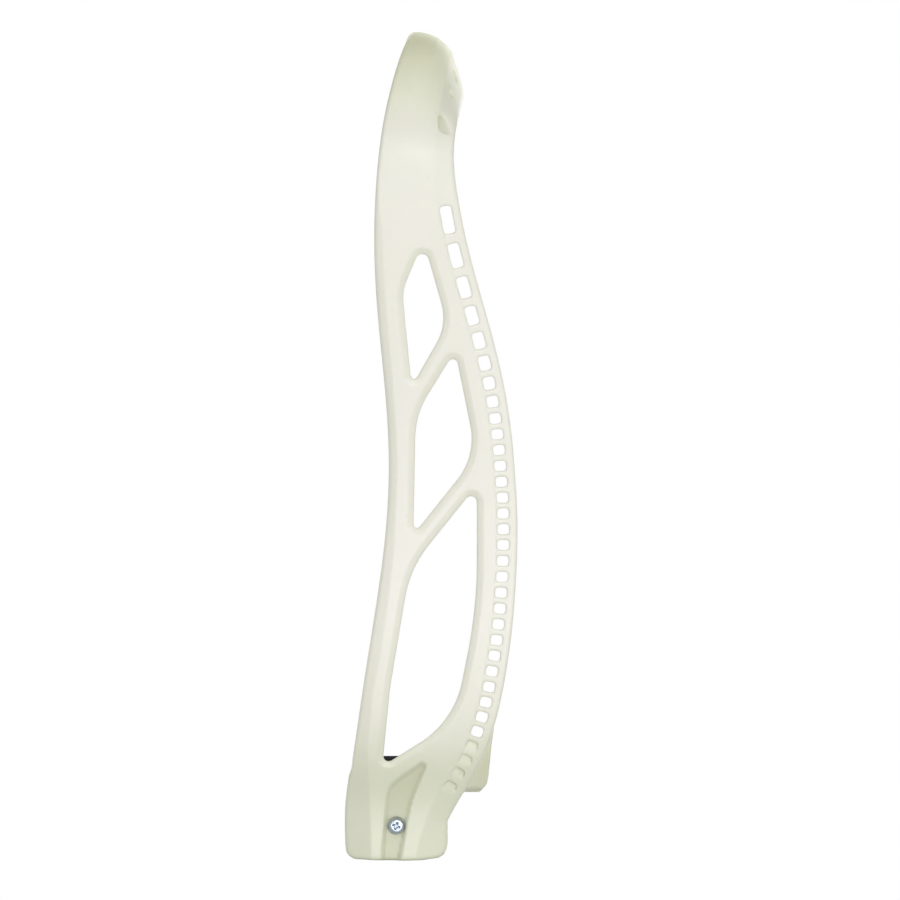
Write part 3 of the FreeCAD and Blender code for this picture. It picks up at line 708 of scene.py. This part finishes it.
# %% Foam and film
def bent_strip(name, half_angle, radius, thickness, y0, y1, corner, crown, lean=0.0,
               steps=120, ring=96):
    """Section: a superellipse of the strip's depth and thickness. Path: an arc, hollow upwards,
    round the arc's centre. Near the ends the section shrinks to a point: first along a rounded
    corner, then flat. The ends lean out towards the hollow side, as the sidewalls do."""
    end_rings, flat_share, end_power = 8, 0.97, 8
    power = 0.16    # of the superellipse: near 0 is a rectangle, 1 an ellipse
    lead = np.linspace(0, 1, end_rings + 1)[1:]
    inner = np.linspace(-1, 1, steps)
    scale = np.r_[0, lead * flat_share, np.ones(steps), lead[::-1] * flat_share, 0]
    reach = half_angle - corner / radius
    bulge = np.sqrt(1 - (flat_share * lead) ** end_power) * corner / radius
    angle = np.r_[-half_angle, -reach - bulge, inner * reach, reach + bulge[::-1], half_angle]
    turn = np.linspace(0, 2 * np.pi, ring, endpoint=False)
    c, s = np.cos(turn), np.sin(turn)
    u, v = np.sign(c) * np.abs(c) ** power, np.sign(s) * np.abs(s) ** power
    depth = (y0 + y1) / 2 + (y1 - y0) / 2 * u[None] * scale[:, None]
    lift = thickness / 2 * v[None] * scale[:, None]
    lift = lift + np.where(v > 0, crown * (1 - u ** 2), 0)[None] * (scale[:, None] == 1)
    r = radius - thickness / 2 - lift
    a = angle[:, None] * (1 + lean * lift / thickness)
    grid = np.stack([r * np.sin(a), depth + 0 * r, arc_centre - r * np.cos(a)], -1)
    n, m = grid.shape[:2]
    ids = np.arange(n * m).reshape(n, m)
    on = np.roll(ids, -1, axis=1)
    faces = np.stack([ids[:-1], ids[1:], on[1:], on[:-1]], -1).reshape(-1, 4)
    return as_object(name, grid.reshape(-1, 3), faces)


foam_crown, foam_corner, foam_lean = 0.1, 0.4, 0.09
foam_inset, foam_end_inset, foam_thinner = 0.1, 0.9, 0.12
film_corner, film_end_inset = 0.1, 0.1
foam_end = math.asin((foam_high[0] - foam_end_inset) / (stop_radius + foam_thickness / 2))
pad = bent_strip("ball_stop_pad", foam_end, shelf_radius - film_thickness,
                 foam_thickness - foam_thinner, foam_low[1] + foam_inset,
                 foam_high[1] - foam_inset, foam_corner, foam_crown, lean=foam_lean)
film_end = math.asin((highest["adhesive_film"][0] - film_end_inset) / shelf_radius)
film = bent_strip("stop_adhesive", film_end, shelf_radius, film_thickness,
                  lowest["adhesive_film"][1], highest["adhesive_film"][1], film_corner, 0.0)
for piece, node, slot in ((pad, "ball_stop_foam", "foam"), (film, "adhesive_film", "film")):
    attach(piece, "head")
    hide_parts(node)
print("foam spans", np.round(foam_high - foam_low, 1), "mm")

# %% [markdown]
# ## The head screw
#
# A self-tapping pan-head screw with a cross recess. The whole screw is one surface round its axis:
# rows run from the tip, along the threaded shank, out under the head, over its dome and in to the
# middle. On the shank the radius is a thread: a ridge that climbs one pitch in each turn. On the
# top the surface sinks where the driver goes.

# %% Thread, pan and cross recess
tip_length, tip_roundness = 2.6, 0.45
thread_fades, thread_ends = 1.6, 0.5
core_radius, crest_radius, thread_pitch, ridge_share = 1.02, shank_radius - 0.02, 1.15, 0.22
rim_radius, dome_height, dome_inset, dome_power = 0.12, 1.0, 1.15, 0.9
arm_half_width, arm_reach, arm_web, web_slope = 0.40, 1.45, 1.15, 0.7
recess_depth, recess_slope, recess_power, recess_skin = 1.3, 0.34, 0.8, 0.05
recess_turn = math.radians(20)


def thread_radius(place, turn):
    """Core radius plus a narrow ridge where the place along the axis, less the share of a turn,
    is near a whole number of pitches."""
    phase = place / thread_pitch - turn / (2 * np.pi)
    ridge = np.clip(1 - np.abs(phase - np.round(phase)) / ridge_share, 0, 1)
    return core_radius + (crest_radius - core_radius) * ridge


def shank_rings(turn, under, rows=230):
    """Rows from the tip to the head. The thread's radius turns into a plain one just under the
    head, and shrinks to nothing at the tip, half way between a cone and a smooth S."""
    tip = screw_low[0]
    place = np.linspace(tip, under, rows)[:, None]
    cone = np.clip((place - tip) / tip_length, 0, 1)
    point = ease(tip, tip + tip_length, place) * tip_roundness + (1 - tip_roundness) * cone
    plain = ease(under - thread_fades, under - thread_ends, place)
    radius = (thread_radius(place, turn) * (1 - plain) + crest_radius * plain) * point
    return np.broadcast_to(place, radius.shape), radius


def head_rings(under):
    """Place and radius of each row from the shank out to the rim, round it by a quarter of a
    circle, up the side, over the dome by a quarter of an ellipse, and in to the middle."""
    rows = [np.linspace(0, 1, count)[1:, None] for count in (10, 6, 26)]
    flat = crest_radius + (head_radius - rim_radius - crest_radius) * rows[0]
    edge = np.linspace(-np.pi / 2, 0, 6)[1:, None]
    side_height = pan_height - dome_height - rim_radius
    bend = rows[2] * np.pi / 2
    dome = head_radius - dome_inset * (1 - np.cos(bend))
    top = np.linspace(dome[-1, 0], 0, 70)[1:, None]
    rings = [
        (under + 0 * flat, flat),
        (under + rim_radius + rim_radius * np.sin(edge),
         head_radius - rim_radius + rim_radius * np.cos(edge)),
        (under + rim_radius + side_height * rows[1], head_radius + 0 * rows[1]),
        (screw_high[0] - dome_height + dome_height * np.sin(bend) ** dome_power, dome),
        (screw_high[0] + 0 * top, top),
    ]
    return [np.vstack(column) for column in zip(*rings)]


def recess(radii, turn):
    """Depth of the driver's cross at each point: two crossed bars with a web between their arms,
    sunk by a power of the distance inside their outline."""
    u = np.abs(radii * np.cos(turn + recess_turn))
    v = np.abs(radii * np.sin(turn + recess_turn))
    bars = np.minimum(np.maximum(u - arm_half_width, v - arm_reach),
                      np.maximum(v - arm_half_width, u - arm_reach))
    cross = np.minimum(bars, (u + v - arm_web) * web_slope)
    sunk = recess_depth * np.clip(-cross / recess_slope, 0, 1) ** recess_power
    return np.maximum(sunk - recess_skin, 0)


def screw_surface(columns=144):
    """Place along the axis, radius and turn of every point: the shank's rows, then the head's,
    with the recess taken off the head's places."""
    turn = np.linspace(0, 2 * np.pi, columns, endpoint=False)[None]
    under = screw_high[0] - pan_height
    shank_place, shank_ring = shank_rings(turn, under)
    places, radii = head_rings(under)
    axis = np.vstack([shank_place, places + 0 * turn - recess(radii, turn)])
    return axis, np.vstack([shank_ring, radii + 0 * turn]), turn


def weld(piece, gap=1e-7):
    """Merge points that coincide, so that poles close, and turn every face outwards."""
    body = bmesh.new()
    body.from_mesh(piece.data)
    bmesh.ops.remove_doubles(body, verts=body.verts, dist=gap)
    bmesh.ops.dissolve_degenerate(body, edges=body.edges, dist=gap)
    bmesh.ops.recalc_face_normals(body, faces=body.faces)
    body.to_mesh(piece.data)
    body.free()
    piece.data.update()


def close_rings(grid, name):
    """Join neighbouring rings with four-sided faces, then merge the first and the last ring to
    one point each."""
    n, m = grid.shape[:2]
    ids = np.arange(n * m).reshape(n, m)
    on = np.roll(ids, -1, axis=1)
    faces = np.stack([ids[:-1], on[:-1], on[1:], ids[1:]], -1).reshape(-1, 4)
    piece = as_object(name, grid.reshape(-1, 3), faces)
    weld(piece)
    return piece


for piece in (pad, film):
    weld(piece)
axis_place, ring_radius, turn = screw_surface()
screw_grid = np.stack([axis_place, screw_y + ring_radius * np.cos(turn),
                       screw_z + ring_radius * np.sin(turn)], -1)
screw = close_rings(screw_grid, "cross_recess_screw")
screw.data.shade_smooth()
screw.data.set_sharp_from_angle(angle=math.radians(38))
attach(screw, "screw")
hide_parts("head_screw")
print("screw:", len(screw.data.vertices), "points")

# %% [markdown]
# ## Finishes
#
# Three effects are shared, so each is a node group with named sockets: a fine grain for anything
# that has been moulded or cut, soft wide clouds for uneven colour, and small separate specks for
# dirt, pores and pits. Their outputs are masks and heights; each material turns them into its own
# colours.

# %% Shared node groups
def new_group(name, inputs):
    """An empty shader group with these inputs, and its two end nodes."""
    group = bpy.data.node_groups.new(name, "ShaderNodeTree")
    for label, value in inputs.items():
        socket = group.interface.new_socket(label, in_out="INPUT", socket_type="NodeSocketFloat")
        socket.default_value = value
    return group, group.nodes.new("NodeGroupInput"), group.nodes.new("NodeGroupOutput")


def node(tree, kind, links=None, **values):
    """Add a node, set its sockets or properties by name, and link the sockets that are given
    another's output."""
    made = tree.nodes.new(kind)
    for key, value in values.items():
        if hasattr(made, key):
            setattr(made, key, value)
        else:
            made.inputs[key.replace("_", " ")].default_value = value
    for key, source in (links or {}).items():
        tree.links.new(source, made.inputs[key])
    return made


def output(group, label):
    """Give the group an output of one number."""
    group.interface.new_socket(label, in_out="OUTPUT", socket_type="NodeSocketFloat")


def build_grain():
    """Two sizes of noise mixed into a height: the fine one is the surface's own grain, and the
    coarse one, about a fifth of its scale, is also given as a mask from 0 to 1."""
    group, given, out = new_group("fine_grain", {"Size": 900.0, "Coarse share": 0.5})
    output(group, "Height")
    output(group, "Mask")
    place = node(group, "ShaderNodeTexCoord").outputs["Object"]
    fine = node(group, "ShaderNodeTexNoise", {"Vector": place, "Scale": given.outputs["Size"]},
                Detail=3.0, Roughness=0.6)
    fifth = node(group, "ShaderNodeMath", {0: given.outputs["Size"]}, operation="MULTIPLY")
    fifth.inputs[1].default_value = 0.21
    coarse = node(group, "ShaderNodeTexNoise", {"Vector": place, "Scale": fifth.outputs[0]},
                  Detail=2.0, Roughness=0.5)
    both = node(group, "ShaderNodeMix", {"Factor": given.outputs["Coarse share"],
                                         2: fine.outputs["Fac"], 3: coarse.outputs["Fac"]},
                data_type="FLOAT")
    group.links.new(both.outputs[0], out.inputs["Height"])
    spread = node(group, "ShaderNodeMapRange", {"Value": coarse.outputs["Fac"]},
                  From_Min=0.35, From_Max=0.65)
    group.links.new(spread.outputs["Result"], out.inputs["Mask"])
    return group


def build_clouds():
    """Wide soft noise stretched along the flow of the melt, as a mask from 0 to 1."""
    group, given, out = new_group("soft_clouds", {"Size": 18.0, "Stretch": 0.45})
    output(group, "Mask")
    place = node(group, "ShaderNodeTexCoord").outputs["Object"]
    stretch = node(group, "ShaderNodeCombineXYZ", {"Z": given.outputs["Stretch"]}, X=1.0, Y=1.0)
    drawn_out = node(group, "ShaderNodeVectorMath", {0: place, 1: stretch.outputs[0]},
                     operation="MULTIPLY").outputs[0]
    noise = node(group, "ShaderNodeTexNoise", {"Vector": drawn_out, "Scale": given.outputs["Size"]},
                 Detail=4.0, Roughness=0.55, Distortion=0.4)
    spread = node(group, "ShaderNodeMapRange", {"Value": noise.outputs["Fac"]},
                  From_Min=0.3, From_Max=0.7)
    group.links.new(spread.outputs["Result"], out.inputs["Mask"])
    return group


def build_specks():
    """Small separate spots round the centres of a Voronoi pattern's cells, each with its own
    size, as a mask from 0 to 1."""
    group, given, out = new_group("specks", {"Size": 260.0, "Amount": 0.12})
    output(group, "Mask")
    place = node(group, "ShaderNodeTexCoord").outputs["Object"]
    cells = node(group, "ShaderNodeTexVoronoi", {"Vector": place, "Scale": given.outputs["Size"]})
    tone = node(group, "ShaderNodeSeparateColor", {"Color": cells.outputs["Color"]})
    reach = node(group, "ShaderNodeMath", {0: tone.outputs[0], 1: given.outputs["Amount"]},
                 operation="MULTIPLY")
    near = node(group, "ShaderNodeMath", {0: reach.outputs[0], 1: cells.outputs["Distance"]},
                operation="SUBTRACT")
    mask = node(group, "ShaderNodeMapRange", {"Value": near.outputs[0]},
                From_Min=0.0, From_Max=0.05)
    group.links.new(mask.outputs["Result"], out.inputs["Mask"])
    return group


grain, clouds, specks = build_grain(), build_clouds(), build_specks()
print("node groups:", grain.name, clouds.name, specks.name)

# %% [markdown]
# ## Nylon
#
# Undyed nylon is a warm white that lets a little light in, so its edges glow and its hollows look
# soft. Its colour goes by height: a little darker and yellower in the throat and most at the
# scoop's lip. That is partly the yellowing of nylon where it is thick or has been kept in the
# light, and partly painted shade on parts turned from the light. Two values kept on the mesh add
# more
# painted shade: "sunk" darkens the screw's panel and the heel's set-in step, and "turned", which is
# how far a face slants away from the side, makes bevels and flanges a little darker and greener.
# The surface is satin from the mould, with a fine even grain.

# %% The nylon's material
def new_material(name):
    """A node material, its tree and its Principled shader."""
    material = bpy.data.materials.new(name)
    material.use_nodes = True
    tree = material.node_tree
    return material, tree, tree.nodes["Principled BSDF"]


def use_group(tree, group, **values):
    """Place a group in a material with its own values."""
    made = tree.nodes.new("ShaderNodeGroup")
    made.node_tree = group
    for key, value in values.items():
        made.inputs[key.replace("_", " ")].default_value = value
    return made


def linear(r, g, b):
    """Display values from 0 to 255 as the linear light that a colour socket takes."""
    c = np.array([r, g, b]) / 255
    return (*np.where(c <= 0.04045, c / 12.92, ((c + 0.055) / 1.055) ** 2.4), 1.0)


def ramp(tree, value, stops):
    """Colours along a value from 0 to 1, straight between the stops."""
    made = tree.nodes.new("ShaderNodeValToRGB")
    tree.links.new(value, made.inputs["Fac"])
    elements = made.color_ramp.elements
    while len(elements) < len(stops):
        elements.new(0.5)
    for element, (position, colour) in zip(elements, stops):
        element.position, element.color = position, colour
    return made.outputs["Color"]


def mix_colour(tree, factor, first, second):
    """From the first colour to the second by the factor, each a value or another node's output."""
    made = node(tree, "ShaderNodeMix", data_type="RGBA")
    for socket, value in (("Factor", factor), (6, first), (7, second)):
        if isinstance(value, bpy.types.NodeSocket):
            tree.links.new(value, made.inputs[socket])
        else:
            made.inputs[socket].default_value = value
    return made.outputs[2]


def scaled(tree, value, low, high):
    """A mask from 0 to 1 spread from low to high."""
    made = node(tree, "ShaderNodeMapRange", {"Value": value}, To_Min=low, To_Max=high)
    return made.outputs["Result"]


def bump(tree, height, strength, distance):
    """A normal that leans as the height rises and falls."""
    made = node(tree, "ShaderNodeBump", {"Height": height}, Strength=strength, Distance=distance)
    return made.outputs["Normal"]


# Share of the head's height, and the nylon's colour there: the darker, yellower throat and scoop's
# lip are partly yellowed nylon and partly painted shade.
NYLON_COLOURS_AND_SHADE = [(0.0, (241, 243, 226)), (0.11, (241, 243, 227)), (0.17, (245, 245, 234)),
                 (0.30, (247, 246, 238)), (0.78, (247, 246, 238)), (0.82, (243, 243, 235)),
                 (0.885, (232, 232, 222)), (0.93, (231, 232, 214)), (0.966, (233, 234, 205)),
                 (1.0, (218, 219, 170))]


def nylon_finish():
    """Colour by height, partly painted shade, then four tints over it: clouds, specks, and painted
    shade in the hollows and on slanted faces.
    """
    material, tree, shader = new_material("moulded_nylon")
    place = node(tree, "ShaderNodeTexCoord").outputs["Object"]
    height = node(tree, "ShaderNodeSeparateXYZ", {"Vector": place}).outputs["Z"]
    level = node(tree, "ShaderNodeMapRange", {"Value": height},
                 From_Min=0.0, From_Max=float(head_top * MM))
    # Height ramp: yellowing of the nylon, and painted shade at the throat and the scoop's lip.
    base = ramp(tree, level.outputs["Result"],
                [(share_of_height, linear(*colour)) for share_of_height, colour in NYLON_COLOURS_AND_SHADE])
    cloud = use_group(tree, clouds, Size=26.0, Stretch=0.4)
    tint = scaled(tree, cloud.outputs["Mask"], 0.0, 0.10)
    base = mix_colour(tree, tint, base, linear(226, 222, 196))
    dots = use_group(tree, specks, Size=150.0, Amount=0.16)
    tint = scaled(tree, dots.outputs["Mask"], 0.0, 0.05)
    base = mix_colour(tree, tint, base, linear(190, 184, 158))
    # Painted shade: the screw's panel and the heel's set-in step are made darker and greener.
    sunk = node(tree, "ShaderNodeAttribute", attribute_name="sunk").outputs["Fac"]
    base = mix_colour(tree, scaled(tree, sunk, 0.0, 0.75), base, linear(219, 220, 196))
    # Painted shade: faces that slant away from the side are made darker and greener.
    turned = node(tree, "ShaderNodeAttribute", attribute_name="turned").outputs["Fac"]
    slant_shade = node(tree, "ShaderNodeMapRange", {"Value": turned}, From_Min=0.02, From_Max=0.25)
    tint = scaled(tree, slant_shade.outputs["Result"], 0.0, 0.22)
    base = mix_colour(tree, tint, base, linear(216, 223, 190))
    fine = use_group(tree, grain, Size=1500.0, Coarse_share=0.35)
    tree.links.new(base, shader.inputs["Base Color"])
    tree.links.new(scaled(tree, fine.outputs["Mask"], 0.40, 0.50), shader.inputs["Roughness"])
    tree.links.new(bump(tree, fine.outputs["Height"], 0.25, 0.00006), shader.inputs["Normal"])
    shader.inputs["IOR"].default_value = 1.52
    shader.inputs["Subsurface Weight"].default_value = 0.18
    shader.inputs["Subsurface Radius"].default_value = (1.0, 0.85, 0.55)
    shader.inputs["Subsurface Scale"].default_value = 0.003
    return material


# %% [markdown]
# ## Foam, film and steel
#
# The ball stop is closed-cell foam: almost black and dry, with tiny pores. The adhesive film shows
# only as a pale line under it. The screw is zinc-plated steel, blue-grey, with a fine grain and
# small dark pits.

# %% Foam, film and steel materials
def foam_finish():
    """Nearly black, with wide clouds, open pores in colour and height, and a fine grain."""
    material, tree, shader = new_material("closed_cell_foam")
    cloud = use_group(tree, clouds, Size=60.0, Stretch=1.0)
    pores = use_group(tree, specks, Size=1300.0, Amount=0.6)
    fine = use_group(tree, grain, Size=2600.0, Coarse_share=0.4)
    base = mix_colour(tree, cloud.outputs["Mask"], linear(38, 35, 44), linear(30, 28, 34))
    base = mix_colour(tree, scaled(tree, pores.outputs["Mask"], 0.0, 0.6), base, linear(14, 13, 17))
    height = node(tree, "ShaderNodeMath", {0: fine.outputs["Height"], 1: pores.outputs["Mask"]},
                  operation="SUBTRACT").outputs[0]
    tree.links.new(base, shader.inputs["Base Color"])
    tree.links.new(scaled(tree, fine.outputs["Mask"], 0.78, 0.92), shader.inputs["Roughness"])
    tree.links.new(bump(tree, height, 0.5, 0.00012), shader.inputs["Normal"])
    shader.inputs["Sheen Weight"].default_value = 0.08
    return material


def film_finish():
    """A pale yellowed plastic, uneven in colour and a little glossy."""
    material, tree, shader = new_material("adhesive_film")
    cloud = use_group(tree, clouds, Size=240.0, Stretch=1.0)
    fine = use_group(tree, grain, Size=2200.0, Coarse_share=0.5)
    base = mix_colour(tree, cloud.outputs["Mask"], linear(214, 205, 178), linear(196, 184, 150))
    tree.links.new(base, shader.inputs["Base Color"])
    tree.links.new(scaled(tree, fine.outputs["Mask"], 0.25, 0.4), shader.inputs["Roughness"])
    tree.links.new(bump(tree, fine.outputs["Height"], 0.3, 0.00003), shader.inputs["Normal"])
    return material


def steel_finish():
    """Blue-grey plated metal with small dark pits and a fine grain."""
    material, tree, shader = new_material("zinc_plated_steel")
    cloud = use_group(tree, clouds, Size=420.0, Stretch=1.0)
    fine = use_group(tree, grain, Size=5200.0, Coarse_share=0.5)
    marks = use_group(tree, specks, Size=1600.0, Amount=0.25)
    base = mix_colour(tree, cloud.outputs["Mask"], linear(186, 196, 208), linear(160, 172, 190))
    tint = scaled(tree, marks.outputs["Mask"], 0.0, 0.5)
    base = mix_colour(tree, tint, base, linear(96, 104, 118))
    tree.links.new(base, shader.inputs["Base Color"])
    tree.links.new(scaled(tree, fine.outputs["Mask"], 0.22, 0.38), shader.inputs["Roughness"])
    tree.links.new(bump(tree, fine.outputs["Height"], 0.35, 0.00003), shader.inputs["Normal"])
    shader.inputs["Metallic"].default_value = 1.0
    return material


for piece, finish in ((moulding, nylon_finish), (pad, foam_finish), (film, film_finish),
                      (screw, steel_finish)):
    piece.data.materials.clear()
    piece.data.materials.append(finish())
print("finishes:", [m.name for m in bpy.data.materials if m.users])

# %% [markdown]
# ## Floor, light and camera
#
# The head is shown on white. A bright tent lights it evenly, a warm key light comes almost square
# at the side, and weaker ones come from the front, from the far side and from above. The camera
# looks square at the side, along -X, and draws without perspective, as from far away.

# %% Studio
def soft_light(name, place, target, size, power, colour=(1, 1, 1)):
    """A square area light of this size in metres and power in watts, turned to the target."""
    data = bpy.data.lights.new(name, "AREA")
    data.shape, data.size, data.energy, data.color = "SQUARE", size, power, colour
    light = bpy.data.objects.new(name, data)
    light.location = place
    light.rotation_euler = (Vector(target) - Vector(place)).to_track_quat("-Z", "Y").to_euler()
    bpy.context.scene.collection.objects.link(light)


middle = Vector((0, 0.012, head_top * MM / 2))
soft_light("key", (1.6, 0.35, 0.12), middle, 0.6, 11.2, (1.0, 0.99, 0.97))
soft_light("fill", (1.2, -1.2, 0.2), middle, 1.2, 1.0, (0.97, 0.99, 1.0))
soft_light("far_side", (-1.5, 0.2, 0.3), middle, 0.8, 5.0)
soft_light("top", (0.5, 0.2, 1.4), middle, 0.8, 2.4)

floor_reach, floor_gap = 4.0, 0.0004
floor_mesh = bpy.data.meshes.new("floor")
floor_mesh.from_pydata([(side * floor_reach, end * floor_reach, -floor_gap)
                        for side, end in ((-1, -1), (1, -1), (1, 1), (-1, 1))], [], [(0, 1, 2, 3)])
floor = bpy.data.objects.new("floor", floor_mesh)
bpy.context.scene.collection.objects.link(floor)
floor_material, _, floor_shader = new_material("pale_floor")
floor_shader.inputs["Base Color"].default_value = (0.86, 0.86, 0.85, 1)
floor_shader.inputs["Roughness"].default_value = 0.8
floor.data.materials.append(floor_material)

world = bpy.data.worlds.new("tent")
bpy.context.scene.world = world
world.use_nodes = True
tent = world.node_tree
background = tent.nodes["Background"]
background.inputs["Color"].default_value = (1, 1, 1, 1)
seen = node(tent, "ShaderNodeLightPath").outputs["Is Camera Ray"]
tent.links.new(scaled(tent, seen, 0.53, 1.0), background.inputs["Strength"])
bpy.context.scene.view_settings.view_transform = "Standard"

frame_height = 0.32143
camera_place = (1.5, 0.01918, 0.14680)
camera_data = bpy.data.cameras.new("camera")
camera_data.type = "ORTHO"
camera_data.ortho_scale = frame_height
camera_data.clip_end = 10
camera = bpy.data.objects.new("camera", camera_data)
camera.location = camera_place
camera.rotation_euler = (math.radians(90), 0, math.radians(90))
bpy.context.scene.collection.objects.link(camera)
bpy.context.scene.camera = camera
print("camera frame", round(frame_height * 1000, 1), "mm high")
